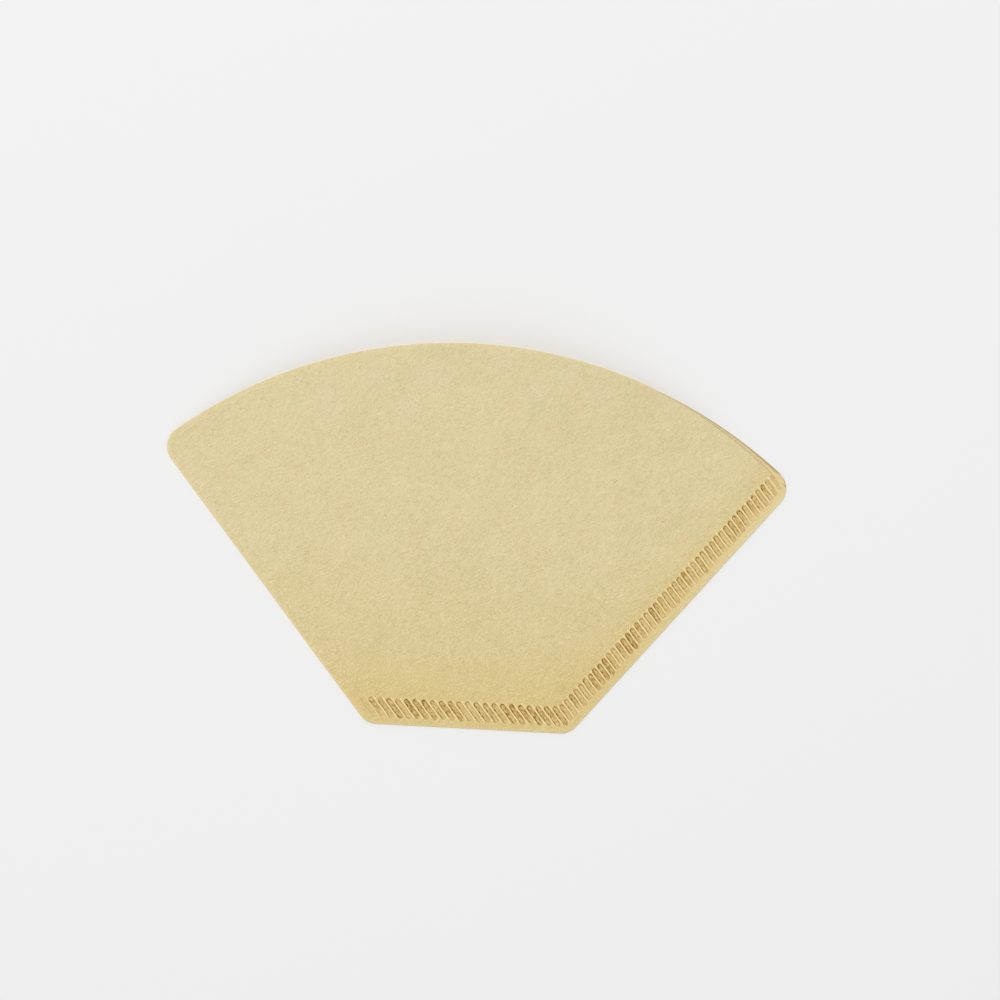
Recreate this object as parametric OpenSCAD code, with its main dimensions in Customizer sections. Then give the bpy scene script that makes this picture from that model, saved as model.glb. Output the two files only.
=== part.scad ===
// Fan-shaped paper coffee filter, lying flat as it comes out of the pack.
// One sheet is folded over along the left side and crimped shut along the base and the right side.
// The mouth is the arc at the top, and the front ply stands a little open there.
// The origin is at the middle of the outline, on the plane that the back ply lies on.

/* [Outline] */
// Width of the base, between its corners before they are rounded
base_w = 54; // [35:1:80]
// Angle of each side away from the middle line
side_angle = 39.4; // [34:0.2:45]
// Length of the folded side, between its corners before they are rounded
fold_side = 92.7; // [80:0.1:107]
// Length of the crimped side, between its corners before they are rounded
seam_side = 88.5; // [80:0.1:103]
// Radius of the mouth's arc
mouth_r = 128.5; // [115:0.5:148]
// Radius of the four corners
corner_r = 5.5; // [3:0.5:9]

/* [Paper] */
// Thickness of one ply
ply_t = 0.25; // [0.15:0.05:0.4]
// Space left between the two plies where they are folded
fold_gap = 0.12; // [0.1:0.02:0.4]
// Height that the front ply rises at the middle of the mouth
gape = 7; // [5:0.5:12]
// How far the front ply's mouth edge stands back at the seam's end
step_back = 1.8; // [0.6:0.2:3]
// Length of the mouth's edge, up to the seam, over which the front ply stands back
step_length = 50; // [30:1:80]

/* [Crimped seam] */
// Plain edge outside the crimps
seam_margin = 1.9; // [1.2:0.1:3]
// Width of the crimped band, across the seam
crimp_w = 4.9; // [3:0.1:7]
// Pressed strip between the crimps and the pocket
seal_w = 0.6; // [0.5:0.1:2]
// Distance from one groove to the next
pitch = 1.8; // [1.5:0.1:3]
// Width of a groove
groove_w = 1.3; // [0.9:0.02:1.36]
// Depth of a groove under the flat seam
groove_depth = 0.22; // [0.1:0.01:0.25]
// Distance from the fold to the middle of the first groove
first_groove = 3; // [2.4:0.1:8]
// Grooves that fade in from the fold
fade_count = 4; // [1:1:10]

/* [Hidden] */

// Steps of the front ply across the mouth, up to the mouth and round the fold
columns = 36;
rows = 18;
fold_steps = 6;

// Steps of a whole turn on the mouth's arc, on a corner, and on a groove's end or a ridge
arc_steps = 360;
corner_steps = 96;
crimp_steps = 32;

// The side lines meet at an apex below the base, and all plans are drawn with that apex at their origin.
base_y = base_w / 2 / tan(side_angle);
fold_dir = [-sin(side_angle), cos(side_angle)];
fold_in = [cos(side_angle), sin(side_angle)];
seam_dir = [sin(side_angle), cos(side_angle)];
seam_in = [-cos(side_angle), sin(side_angle)];

// The ends of the mouth before its corners are rounded, and the middle of its arc
side_start = base_y / cos(side_angle);
fold_tip = fold_dir * (side_start + fold_side);
seam_tip = seam_dir * (side_start + seam_side);
chord = seam_tip - fold_tip;
mouth_c = (fold_tip + seam_tip) / 2
    + [chord.y, -chord.x] * sqrt(pow(mouth_r / norm(chord), 2) - 1 / 4);

seam_t = 2 * ply_t;
seam_w = seam_margin + crimp_w + seal_w;

// Room by which a cutting shape passes what it cuts
trim = 1;

// The folded sheet runs into the pressed strip by this share of it, and its fold lies this far inside the outline.
overlap = 0.7 * seal_w;
fold_inset = 0.03;
fold_r = seam_t / 2 + fold_gap / 2;

// The front ply rises along a sine across the mouth, raised to this power.
swell_power = 1.5;

// A ridge between two grooves is a bead that fills most of the space there. Its ends taper to a small
// tip over a few radii, and the back has a fine crease under it.
ridge_r = 0.9 * (pitch - groove_w) / 2;
taper_share = 3;
tip_share = 0.2;
crease_r = ridge_r / 2;

// Distance along a ray from a point inside the mouth's arc to that arc
function to_mouth(from, ray) =
    let(way = from - mouth_c, along = way * ray)
    sqrt(mouth_r * mouth_r - way * way + along * along) - along;

function turned(v, angle) = [v.x * cos(angle) - v.y * sin(angle), v.x * sin(angle) + v.y * cos(angle)];

// The folded sheet

// Where the lines that bound the sheet meet: one beside the fold, one inside the seam
sheet_fold_in = fold_r + fold_inset;
sheet_seam_in = seam_w - overlap;
sheet_apex = [(sheet_fold_in - sheet_seam_in) / (2 * cos(side_angle)),
              (sheet_fold_in + sheet_seam_in) / (2 * sin(side_angle))];
sheet_base = base_y + sheet_seam_in - sheet_apex.y;

// A place on the sheet: across is 0 at the fold and 1 at the seam, up is 0 at the base and 1 past the mouth
function plan_point(across, up) =
    let(angle = (2 * across - 1) * side_angle, ray = [sin(angle), cos(angle)])
    sheet_apex + ray * (sheet_base / cos(angle) * (1 - up) + (to_mouth(sheet_apex, ray) + trim) * up);

// Height of the front ply's underside, flat beside the fold and the seams and highest at the mouth
function rise(across, up) =
    ply_t + fold_gap + gape * pow(max(0, sin(180 * across)) * up, swell_power);

function at_height(point, z) = [point.x, point.y, z];

// A point of the fold's round, from the back ply at 0 to the front ply at 1
function fold_point(up, turn, r) =
    at_height(plan_point(0, up) - fold_in * r * sin(180 * turn), fold_r - r * cos(180 * turn));

function back_face(up, z) = [for (i = [0:columns]) at_height(plan_point(i / columns, up), z)];
function fold_face(up, r) = [for (i = [1:fold_steps - 1]) fold_point(up, i / fold_steps, r)];
function front_face(up, lift) =
    [for (i = [0:columns]) at_height(plan_point(i / columns, up), rise(i / columns, up) + lift)];
function backwards(list) = [for (i = [len(list) - 1:-1:0]) list[i]];

// The section of the sheet at one row: its outer face from the seam round the fold, then its inner face back
function section(up) = concat(
    backwards(back_face(up, 0)), fold_face(up, fold_r), front_face(up, ply_t),
    backwards(front_face(up, 0)), backwards(fold_face(up, fold_gap / 2)), back_face(up, ply_t));

module folded_sheet() {
    sections = [for (j = [0:rows]) section(j / rows)];
    ring = len(sections[0]);
    last = ring * rows;
    walls = [for (j = [0:rows - 1], i = [0:ring - 1])
        let(a = j * ring + i, b = j * ring + (i + 1) % ring)
        each [[a, b + ring, b], [a, a + ring, b + ring]]];
    base_end = [for (i = [0:ring / 2 - 2])
        each [[i, ring - 2 - i, ring - 1 - i], [i, i + 1, ring - 2 - i]]];
    mouth_end = [for (face = base_end) [last + face[0], last + face[2], last + face[1]]];
    polyhedron([for (points = sections) each points], concat(walls, base_end, mouth_end));
}

// The outline

// Middles of the two rounded corners of one side: along runs up its line, and across points inwards from it
function base_corner(along, across) =
    across * corner_r + along * (base_y + corner_r - across.y * corner_r) / along.y;
function mouth_corner(along, across) =
    across * corner_r + along * (mouth_c * along
        + sqrt(pow(mouth_r - corner_r, 2) - pow(corner_r - mouth_c * across, 2)));

// What rounding one corner takes away: a wedge between the two edges' normals, outside the corner's circle
module corner_waste(centre, normal_a, normal_b) {
    reach = 2 * (corner_r + trim);
    difference() {
        polygon([centre, centre + reach * normal_a, centre + reach * (normal_a + normal_b),
                 centre + reach * normal_b]);
        translate(centre) circle(corner_r, $fn = corner_steps);
    }
}

module side_corners(along, across) {
    low = base_corner(along, across);
    high = mouth_corner(along, across);
    corner_waste(low, [0, -1], -across);
    corner_waste(high, -across, (high - mouth_c) / norm(high - mouth_c));
}

// The filter's plan, with room for the round of the fold past its left side
module outline(room = 0) {
    top = mouth_c.y + mouth_r + trim;
    slope = tan(side_angle);
    spare = room / cos(side_angle);
    difference() {
        intersection() {
            translate(mouth_c) circle(mouth_r, $fn = arc_steps);
            polygon([[-base_y * slope - spare, base_y], [base_y * slope, base_y],
                     [top * slope, top], [-top * slope - spare, top]]);
        }
        side_corners(fold_dir, fold_in);
        side_corners(seam_dir, seam_in);
    }
}

// The middle of the outline's box
left_x = mouth_corner(fold_dir, fold_in).x - corner_r;
right_x = mouth_corner(seam_dir, seam_in).x + corner_r;
middle = [left_x + right_x, base_y + mouth_c.y + mouth_r] / 2;

// The crimped seam

// Distance along a groove's line, p away from the fold, to where it is d inside the base or the seam's edge
function to_base(p, d) = (base_y + d - p * sin(side_angle)) / cos(side_angle);
function to_side(p, d) = (d + p * cos(2 * side_angle)) / sin(2 * side_angle);
function crimp_end(p, d) = max(to_base(p, d), to_side(p, d));
function crimp_start(p) = crimp_end(p, seam_margin);
function crimp_stop(p) = crimp_end(p, seam_margin + crimp_w);

// A crimp stays when it ends clear of the mouth's edge.
function in_seam(p) = norm(fold_in * p + fold_dir * crimp_stop(p) - mouth_c) < mouth_r - seam_margin;
most_crimps = floor(mouth_r / pitch);
grooves = [for (i = [0:most_crimps]) if (in_seam(first_groove + i * pitch)) i];

function strength(i) = min(1, (i + 1) / fade_count);

// Places its children on a groove's line, with x along the groove
module on_crimp(p) {
    translate(fold_in * p + fold_dir * crimp_start(p)) rotate(90 + side_angle) children();
}

module groove(i) {
    p = first_groove + i * pitch;
    length = crimp_stop(p) - crimp_start(p);
    translate([0, 0, seam_t - groove_depth * strength(i)])
        linear_extrude(seam_t) on_crimp(p) {
            translate([groove_w / 2, -groove_w / 2]) square([length - groove_w, groove_w]);
            for (x = [groove_w / 2, length - groove_w / 2])
                translate([x, 0]) circle(groove_w / 2, $fn = crimp_steps);
        }
}

// A long bead with tapered ends along the ridge beside groove i
module bead(i, r) {
    p = first_groove + (i + 0.5) * pitch;
    length = crimp_stop(p) - crimp_start(p);
    taper = taper_share * ridge_r;
    tip = tip_share * r;
    on_crimp(p) rotate([0, 90, 0]) rotate_extrude($fn = crimp_steps)
        polygon([[0, 0], [tip, 0], [r, taper], [r, length - taper], [tip, length], [0, length]]);
}

// Both plies pressed together along the base and the right side
module seam_plan() {
    corner_y = base_y + seam_w;
    corner = [(corner_y * sin(side_angle) - seam_w) / cos(side_angle), corner_y];
    far = 2 * mouth_r;
    difference() {
        outline();
        polygon([corner, corner + far * seam_dir, [-far, far], [-far, corner_y]]);
    }
}

module seam() {
    difference() {
        union() {
            difference() {
                linear_extrude(seam_t) seam_plan();
                for (i = grooves) groove(i);
            }
            for (i = grooves) translate([0, 0, seam_t]) bead(i, ridge_r * strength(i));
        }
        for (i = grooves) bead(i, crease_r * strength(i));
    }
}

// What is cut from the front ply so that its mouth edge stands back at the seam: the arc swings down there,
// about a point on the mouth's edge
module front_trim() {
    pivot = mouth_c + turned(seam_tip - mouth_c, 2 * asin(step_length / 2 / mouth_r));
    swing = asin(step_back / step_length);
    translate([0, 0, ply_t]) linear_extrude(gape + corner_r) difference() {
        translate(mouth_c) circle(mouth_r + trim, $fn = arc_steps);
        translate(pivot + turned(mouth_c - pivot, -swing)) circle(mouth_r, $fn = arc_steps);
    }
}

module filter() {
    color([0.86, 0.81, 0.63])
        translate(-middle) difference() {
            union() {
                intersection() {
                    folded_sheet();
                    translate([0, 0, -trim]) linear_extrude(gape + corner_r) outline(trim);
                }
                seam();
            }
            front_trim();
        }
}

filter();
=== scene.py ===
"""A fan-shaped paper coffee filter, folded along one side and crimped shut along the base and the other side.

The paper is one closed mesh: two plies that lie on each other and gape at the mouth, a round fold, cut edges,
and the crimped seam with each of its grooves and ridges."""

import math

import bmesh
import bpy
import numpy as np
from bpy.props import FloatProperty, FloatVectorProperty, IntProperty, PointerProperty
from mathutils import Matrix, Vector


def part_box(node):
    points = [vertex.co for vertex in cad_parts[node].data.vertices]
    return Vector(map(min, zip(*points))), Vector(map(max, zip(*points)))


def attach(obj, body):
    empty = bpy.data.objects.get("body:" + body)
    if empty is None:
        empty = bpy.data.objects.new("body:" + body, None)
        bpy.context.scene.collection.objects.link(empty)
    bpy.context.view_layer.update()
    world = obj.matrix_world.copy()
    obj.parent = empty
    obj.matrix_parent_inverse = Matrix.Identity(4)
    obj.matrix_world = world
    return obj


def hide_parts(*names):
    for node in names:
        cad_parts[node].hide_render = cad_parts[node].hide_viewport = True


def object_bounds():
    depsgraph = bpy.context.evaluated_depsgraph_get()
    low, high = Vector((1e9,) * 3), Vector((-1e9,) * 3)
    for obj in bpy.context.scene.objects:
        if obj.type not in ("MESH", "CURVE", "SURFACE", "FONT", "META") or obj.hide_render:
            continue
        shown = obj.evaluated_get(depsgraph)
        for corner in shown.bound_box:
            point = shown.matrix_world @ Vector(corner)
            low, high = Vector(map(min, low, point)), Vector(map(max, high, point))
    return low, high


bl_info = {
    "name": "Paper Coffee Filter",
    "version": (1, 0, 0),
    "blender": (4, 5, 0),
    "location": "View3D > Sidebar > Filter",
    "description": "Builds a folded and crimped paper coffee filter and a plain stage for it",
    "category": "Object",
}

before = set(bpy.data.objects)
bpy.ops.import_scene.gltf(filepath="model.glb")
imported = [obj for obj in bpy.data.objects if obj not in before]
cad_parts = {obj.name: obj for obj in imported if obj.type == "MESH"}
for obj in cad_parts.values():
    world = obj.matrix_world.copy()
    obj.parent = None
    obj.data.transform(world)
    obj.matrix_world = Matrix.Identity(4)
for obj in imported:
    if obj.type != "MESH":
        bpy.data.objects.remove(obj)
cad_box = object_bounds()
SOLID = "filter"
PIECE = "filter_paper"
MM = 0.001
WELD = 2e-9  # width of the cells in which points become one


# Sizes and colours

def length(name, text, default):
    """A property that holds a length in metres."""
    return FloatProperty(name=name, description=text, default=default, unit="LENGTH", precision=5)


def linear(value):
    """The linear value of a colour's screen value, which runs from 0 to 255."""
    value /= 255
    return value / 12.92 if value <= 0.04045 else ((value + 0.055) / 1.055) ** 2.4


def colour(name, text, red, green, blue):
    """A property that holds a colour, whose default is given by its screen values."""
    return FloatVectorProperty(name=name, description=text, subtype="COLOR", size=3, min=0, max=1,
                               default=(linear(red), linear(green), linear(blue)))


class FilterSizes(bpy.types.PropertyGroup):
    base_width: length("Base width", "Width of the base before its corners are rounded", 0.054)
    side_angle: FloatProperty(name="Side angle", description="Angle of each side away from the middle line",
                              default=math.radians(39.4), subtype="ANGLE")
    fold_side: length("Folded side", "Length of the folded side before its corners are rounded", 0.0927)
    seam_side: length("Crimped side", "Length of the crimped side before its corners are rounded", 0.0885)
    mouth_radius: length("Mouth radius", "Radius of the mouth's arc", 0.1285)
    corner_radius: length("Corner radius", "Radius of the four corners", 0.0055)
    ply: length("Ply", "Thickness of one ply", 0.00025)
    fold_gap: length("Fold gap", "Space between the plies at the fold", 0.00012)
    gape: length("Gape", "Height that the front ply rises at the middle of the mouth", 0.007)
    step_back: length("Step back", "How far the front ply's mouth edge stands back at the seam's end", 0.0018)
    step_length: length("Step length", "Length of mouth edge over which the front ply stands back", 0.05)
    flutter: length("Flutter", "Height of the slow waves in the plies", 0.0003)
    pucker: length("Pucker", "Height of the waves that the crimping draws into the paper", 0.00016)


class CrimpSizes(bpy.types.PropertyGroup):
    margin: length("Margin", "Plain edge outside the crimps", 0.0019)
    width: length("Width", "Width of the crimped band", 0.0049)
    seal: length("Seal", "Pressed strip between the crimps and the pocket", 0.0006)
    pitch: length("Pitch", "Distance from one groove to the next", 0.0018)
    groove_width: length("Groove width", "Width of a groove", 0.0013)
    groove_depth: length("Groove depth", "Depth of a groove under the flat seam", 0.00026)
    wall: length("Groove wall", "Width of the slope at a groove's side", 0.0002)
    ridge_width: length("Ridge width", "Width of a ridge between two grooves", 0.00042)
    ridge_height: length("Ridge height", "Height of a ridge over the flat seam", 0.00026)
    ridge_reach: length("Ridge reach", "How far a ridge runs on past the grooves", 0.0006)
    wobble: length("Wobble", "How far a groove's sides wander off a straight line", 0.00004)
    first_groove: length("First groove", "Distance from the fold to the middle of the first groove", 0.003)
    fade_count: IntProperty(name="Fading grooves", description="Grooves that fade at each end of the row",
                            default=4)
    seed: IntProperty(name="Seed", description="Number that fixes how the grooves differ", default=11)


class PaperLook(bpy.types.PropertyGroup):
    paper: colour("Paper", "The flat paper", 226, 211, 165)
    # Pale and dark: the paper's own lighter and darker fibres, and the painted light and shade of its fine
    # wrinkles
    pale: colour("Pale fibres", "The lighter fibres in the paper", 234, 222, 182)
    dark: colour("Dark fibres", "The darker fibres in the paper", 205, 188, 138)
    rosy: colour("Rosy cloud", "The warmer clouds in the paper", 227, 208, 162)
    green: colour("Green cloud", "The cooler clouds in the paper", 221, 209, 161)
    warm: colour("Warm paper", "The paper that the heat of the crimping has toasted", 223, 196, 124)
    golden: colour("Golden band", "The pressed paper between the grooves", 233, 202, 132)
    toast: colour("Toasted floor", "The floor of a deep groove", 189, 147, 60)
    rust: colour("Rusty floor", "The reddest spots on a groove's floor", 198, 140, 80)
    # Painted shade round the grooves, past the front ply's mouth edge and between the plies, and the dark
    # specks
    crease_shade_and_specks: colour("Crease", "The steep sides of a groove", 122, 86, 22)
    # Painted highlight on the ridges and along the fold, and the paler margin and cut edges
    ridge: colour("Ridge", "The bright top of a ridge", 255, 233, 170)
    roughness: FloatProperty(name="Roughness", description="How matte the paper is", default=0.88,
                             min=0, max=1, subtype="FACTOR")
    creping: length("Creping", "Height of the fine wrinkles", 0.00015)


class StageLook(bpy.types.PropertyGroup):
    floor: colour("Floor", "The plain floor", 243, 243, 243)
    floor_near: length("Floor near", "Distance at which the floor starts to fade into the backdrop", 0.2)
    floor_far: length("Floor far", "Distance at which only the backdrop is left", 1.2)
    lamp_power: FloatProperty(name="Lamp power", description="Power of the large soft lamp", default=23.8)
    lamp_size: length("Lamp size", "Width of the large soft lamp", 1.2)
    room_light: FloatProperty(name="Room light", description="Strength of the even light all round",
                              default=0.55)
    camera_height: length("Camera height", "Height of the camera over the floor", 0.9)
    picture_width: length("Picture width", "Width of the floor that the picture shows", 0.2655)
    picture_turn: FloatProperty(name="Picture turn", description="Turn of the picture about its middle",
                                default=math.radians(3), subtype="ANGLE")


GROUPS = {"filter_sizes": FilterSizes, "filter_crimps": CrimpSizes, "filter_look": PaperLook,
          "filter_stage": StageLook}


# Curves

def smooth(x):
    """0 below 0, 1 above 1 and a smooth step between."""
    x = np.clip(x, 0, 1)
    return x * x * (3 - 2 * x)


def rise(x, start, full):
    """0 at the start, 1 where it is full and a smooth step between, whichever of the two is the lower."""
    return smooth((x - start) / (full - start))


def hump(x):
    """1 at 0, and rounded off on both sides to 0 at 1 and at -1."""
    return np.maximum(0, 1 - x ** 2)


def wave(x):
    """A sine wave between 0 and 1."""
    return 1 / 2 + np.sin(x) / 2


# The filter's plan

class Corner:
    """A rounded corner of the outline."""

    def __init__(self, p, t, radius):
        self.p, self.t, self.radius = p, t, radius

    def half(self, p):
        """Half the height of the corner's circle, this far from the fold."""
        return np.sqrt(np.maximum(0, self.radius ** 2 - (p - self.p) ** 2))

    def below(self, p):
        """The circle's lower edge."""
        return self.t - self.half(p)

    def above(self, p):
        """The circle's upper edge."""
        return self.t + self.half(p)


def turned(way, angle):
    """A way in the plan, turned by this angle."""
    p, t = way
    return np.array([p * math.cos(angle) - t * math.sin(angle), p * math.sin(angle) + t * math.cos(angle)])


class Plan:
    """The filter seen from above. A place is p away from the fold's line and t along it, counted from the
    apex where the two side lines would meet, so the crimps all run along t."""

    HALVINGS = 60  # steps in which the pocket's end is found

    def __init__(self, sizes, crimps):
        angle = self.angle = sizes.side_angle
        self.sin, self.cos = math.sin(angle), math.cos(angle)
        self.sin2, self.cos2 = math.sin(2 * angle), math.cos(2 * angle)
        self.base_y = sizes.base_width / 2 / math.tan(angle)
        self.seam = crimps.margin + crimps.width + crimps.seal

        self.mouth_r = sizes.mouth_radius
        side_start = self.base_y / self.cos
        fold_tip = np.array([0, side_start + sizes.fold_side])
        seam_tip = self.mirrored(0, side_start + sizes.seam_side)
        chord = seam_tip - fold_tip
        drop = math.sqrt((self.mouth_r / math.hypot(*chord)) ** 2 - 1 / 4)
        self.arc = (fold_tip + seam_tip) / 2 + np.array([chord[1], -chord[0]]) * drop
        self.arc_x, self.arc_y = self.flat(*self.arc)

        pivot = self.arc + turned(seam_tip - self.arc, 2 * math.asin(sizes.step_length / 2 / self.mouth_r))
        swing = math.asin(sizes.step_back / sizes.step_length)
        self.front_arc = pivot + turned(self.arc - pivot, -swing)

        radius = sizes.corner_radius
        base_t = (self.base_y + radius - radius * self.sin) / self.cos
        fold_t = self.mouth_corner(self.arc, radius)
        seam_t = self.mouth_corner(self.mirrored(*self.arc), radius)
        self.fold_base = Corner(radius, base_t, radius)
        self.seam_base = Corner(*self.mirrored(radius, base_t), radius)
        self.fold_mouth = Corner(radius, fold_t, radius)
        self.seam_mouth = Corner(*self.mirrored(radius, seam_t), radius)
        self.last_p = self.seam_mouth.p + radius
        self.middle_x = (seam_t - fold_t) * self.sin / 2
        self.middle_y = (self.base_y + self.arc_y + self.mouth_r) / 2

        fold_in = sizes.ply + sizes.fold_gap / 2
        self.apex_x = (fold_in - self.seam) / (2 * self.cos)
        self.apex_y = (fold_in + self.seam) / (2 * self.sin)
        self.apex_base = self.base_y + self.seam - self.apex_y

    def mirrored(self, p, t):
        """The same place on the other side of the middle line."""
        return np.array([t * self.sin2 - p * self.cos2, p * self.sin2 + t * self.cos2])

    def mouth_corner(self, arc, radius):
        """How far up its side's line the middle of a mouth corner lies, with the arc as that side sees it."""
        return arc[1] + math.sqrt((self.mouth_r - radius) ** 2 - (radius - arc[0]) ** 2)

    def inside(self, p, depth):
        """Where a crimp's line comes to lie this deep inside both the base and the crimped side."""
        to_base = (self.base_y + depth - p * self.sin) / self.cos
        to_side = (depth + p * self.cos2) / self.sin2
        return np.maximum(to_base, to_side)

    def base_depth(self, p, t):
        """How deep a place lies inside the base."""
        return p * self.sin + t * self.cos - self.base_y

    def side_depth(self, p, t):
        """How deep a place lies inside the crimped side."""
        return t * self.sin2 - p * self.cos2

    def depth(self, p, t):
        """How deep a place lies inside the base or the crimped side, whichever is nearer."""
        return np.minimum(self.base_depth(p, t), self.side_depth(p, t))

    def low(self, p):
        """The outline's lower edge: corner, base, corner, crimped side and corner."""
        first, turn, last = self.fold_base, self.seam_base, self.seam_mouth
        edge = np.where(p < first.radius * (1 - self.sin), first.below(p), self.inside(p, 0))
        rounded = (p > turn.p - turn.radius * self.sin) & (p < turn.p + turn.radius * self.cos2)
        edge = np.where(rounded, turn.below(p), edge)
        return np.where(p > last.p + last.radius * self.cos2, last.below(p), edge)

    def high(self, p):
        """The outline's upper edge: the mouth's arc and the corners at its ends."""
        first, last = self.fold_mouth, self.seam_mouth
        reach = self.mouth_r / (self.mouth_r - first.radius)
        edge = self.over(self.arc, p)
        edge = np.where(p < self.arc[0] + (first.p - self.arc[0]) * reach, first.above(p), edge)
        return np.where(p > self.arc[0] + (last.p - self.arc[0]) * reach, last.above(p), edge)

    def over(self, arc, p):
        """The top of an arc of the mouth's radius about this middle."""
        return arc[1] + np.sqrt(np.maximum(0, self.mouth_r ** 2 - (p - arc[0]) ** 2))

    def front(self, p):
        """The front ply's mouth edge, which swings back from the outline's near the seam's end."""
        return np.clip(self.over(self.front_arc, p), self.low(p), self.high(p))

    def flat(self, p, t):
        """The place's x and y, counted from the apex."""
        return p * self.cos - t * self.sin, p * self.sin + t * self.cos

    def place(self, p, t):
        """The place's x and y in the part's frame."""
        x, y = self.flat(p, t)
        return x - self.middle_x, y - self.middle_y

    def unplace(self, x, y):
        """Distance from the fold and along it, of a place in the part's frame."""
        x, y = x + self.middle_x, y + self.middle_y
        return x * self.cos + y * self.sin, y * self.cos - x * self.sin

    def fan(self, p, t):
        """How far across the pocket a place is, 0 at the fold and 1 at the crimped side, and how far up, 0 at
        the base and 1 at the mouth."""
        x, y = self.flat(p, t)
        x, y = x - self.apex_x, y - self.apex_y
        reach, turn = np.hypot(x, y), np.arctan2(x, y)
        near = self.apex_base / np.cos(turn)
        way_x, way_y = self.apex_x - self.arc_x, self.apex_y - self.arc_y
        along = (way_x * x + way_y * y) / reach
        far = np.sqrt(self.mouth_r ** 2 - way_x ** 2 - way_y ** 2 + along ** 2) - along
        return np.clip((turn / self.angle + 1) / 2, 0, 1), np.clip((reach - near) / (far - near), 0, 1)

    def pocket_end(self):
        """Where the pocket's inner line meets the front ply's mouth edge, found by halving."""
        low, high = self.seam_base.p, self.last_p
        for _ in range(self.HALVINGS):
            middle = (low + high) / 2
            if self.front(middle) > self.inside(middle, self.seam):
                low = middle
            else:
                high = middle
        return low


# The crimps

class Crimps:
    """The row of grooves, each with its own ends, depth and tone, and the ridges between them."""

    UNEVEN = 0.6  # how far an end strays, in widths of a groove's wall
    FAINTEST = 0.2  # least that the fading at the seam's end leaves of a groove
    DEPTHS = (0.7, 1.05)  # least and greatest share of the full depth
    BREADTHS = (0.96, 1.08)  # least and greatest share of the full width
    BRIGHTNESS = (0.75, 1)  # least and greatest share of a ridge's height and light
    SWELL = 0.3  # how far a floor rises again in its middle, as a share of its depth
    TAPER = 1.6  # length of a ridge's narrow end, in widths of the ridge
    WOBBLE_LENGTH = 0.6 * MM  # how far the wobble goes on in one radian
    WOBBLE_START = 5  # how much further on the wobble starts in each next groove, in radians

    TONE = 0.41  # how toasted the grooves at the fold are
    TONE_DROP = 0.12  # how much less the last one is
    TONE_SLOW = 0.3  # how much the toast comes and goes over many grooves
    TONE_SPREAD = 0.35  # how much it changes from one groove to the next
    TONE_TURN = 0.55  # how far the slow change goes on from one groove to the next, in radians
    TONE_DRIFT, TONE_SHIFT = 0.17, 4  # speed and reach of the drift that makes the slow change uneven
    TONE_LEAST = 0.1
    PALEST = 0.8  # how pale a groove's lower end may get
    PALE_POWER = 1.5  # how late the toast starts to fade towards that end

    FLOOR_EDGE = 0.6  # distance over which the toast starts at a floor's edge, in widths of the wall
    OVERRUN = 0.2  # how far past its ends a groove's tones go on, in lengths of the groove

    # The dark line round a groove: its toasted crease, with painted shade in the walls that face away from
    # the lamp
    LINE_MIDDLE, LINE_HALF = 0.7, 0.9  # place and half width of the dark line, in widths of the wall
    LINE_DARK = 0.68  # how dark it is at the middle of a groove's width
    SHADE_ASIDE = 0.38  # how much darker the painted shade is towards the fold, and paler away from it
    LINE_TOP, TOP_START, TOP_FULL = 0.5, 0.85, 1.15  # how much darker the painted shade is at the upper end, and where
    LINE_FOOT, FOOT_START, FOOT_FULL = 0.5, 0.12, -0.08  # how much paler at the lower end, and where
    LINE_PALE = 0.7  # how much paler it gets with the toast at that end
    LINE_FAINT = 0.65  # how dark it is in a groove that isn't toasted

    def __init__(self, plan, sizes):
        self.sizes = sizes
        self.half = sizes.groove_width / 2
        p = sizes.first_groove + sizes.pitch * np.arange(int(plan.last_p / sizes.pitch))
        stop = plan.inside(p, sizes.margin + sizes.width)
        self.p = p[np.hypot(p - plan.arc[0], stop - plan.arc[1]) < plan.mouth_r - sizes.margin]
        count = len(self.p)
        number = np.arange(count)
        chance = np.random.default_rng(sizes.seed)

        uneven = self.UNEVEN * sizes.wall
        self.start = plan.inside(self.p, sizes.margin) + self.half + chance.uniform(-uneven, uneven, count)
        self.stop = plan.inside(self.p, sizes.margin + sizes.width) - self.half
        self.stop += chance.uniform(-uneven, uneven, count)
        between = self.p + sizes.pitch / 2
        self.ridge_start = plan.inside(between, sizes.margin) + chance.uniform(-uneven, uneven, count)
        self.ridge_stop = plan.inside(between, sizes.margin + sizes.width) + sizes.ridge_reach

        fade_in = np.minimum(1, (number + 1) / sizes.fade_count)
        fade_out = np.minimum(1, (count - number - 1 / 2) / sizes.fade_count)
        self.fade = fade_in * (self.FAINTEST + (1 - self.FAINTEST) * fade_out)
        self.deep = self.fade * chance.uniform(*self.DEPTHS, count)
        slow = wave(number * self.TONE_TURN + self.TONE_SHIFT * np.sin(number * self.TONE_DRIFT))
        tone = self.TONE - self.TONE_DROP * self.p / plan.last_p + self.TONE_SLOW * slow
        tone += chance.uniform(-self.TONE_SPREAD, self.TONE_SPREAD, count)
        self.tone = np.clip(self.fade * tone, self.TONE_LEAST, 1)
        self.pale_end = chance.uniform(0, self.PALEST, count)
        self.breadth = self.half * chance.uniform(*self.BREADTHS, count)
        self.bright = self.fade * chance.uniform(*self.BRIGHTNESS, count)

    def nearest(self, p, shift):
        """Number of the nearest groove, or with a shift of a half the nearest ridge."""
        turn = (p - self.sizes.first_groove) / self.sizes.pitch - shift
        return np.clip(np.rint(turn).astype(int), 0, len(self.p) - 1)

    def grooved(self, p, t):
        """The nearest groove's number, how far to its side and away from its middle line a place is."""
        i = self.nearest(p, 0)
        wobble = self.sizes.wobble * np.sin(t / self.WOBBLE_LENGTH + self.WOBBLE_START * i)
        aside = p - self.p[i] + wobble
        past = np.maximum(t - self.stop[i], self.start[i] - t)
        return i, aside, np.hypot(aside, np.maximum(0, past))

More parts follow.
